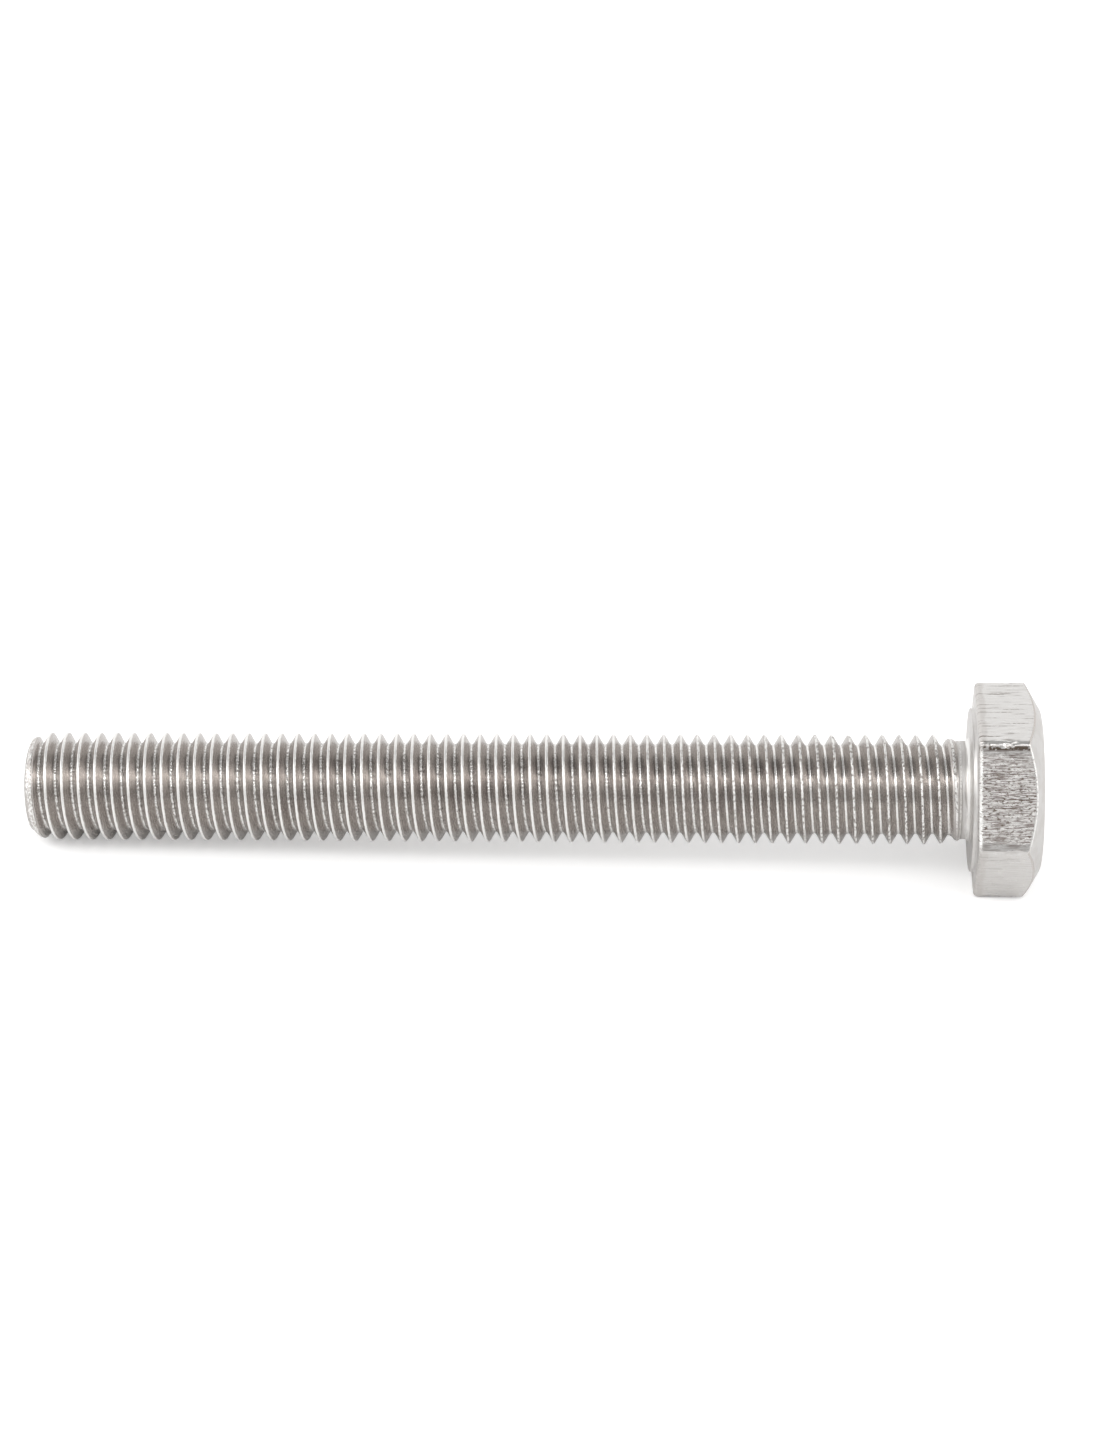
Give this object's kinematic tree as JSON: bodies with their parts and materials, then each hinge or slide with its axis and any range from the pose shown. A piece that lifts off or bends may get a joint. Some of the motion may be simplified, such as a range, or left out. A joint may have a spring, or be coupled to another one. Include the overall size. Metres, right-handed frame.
{
  "type": "hex bolt",
  "caption": "Fully threaded hexagon head bolt with a washer-faced head, a chamfered crown and a chamfered tip, in plain stainless steel.",
  "frame": {"origin": "centre of the bearing face under the head, on the bolt's axis", "axes": "+X from the tip to the head along the bolt's axis, +Z square to one pair of the head's flats, +Y through a pair of the head's corners"},
  "size_m": [0.0906, 0.0192, 0.0168],
  "materials": {
    "stainless_steel": "plain cold-forged stainless steel, satin, with drawn scratches along the head's flats and bright rolled crests"
  },
  "bodies": {
    "root": {"hex_bolt": "stainless_steel"}
  },
  "joints": []
}
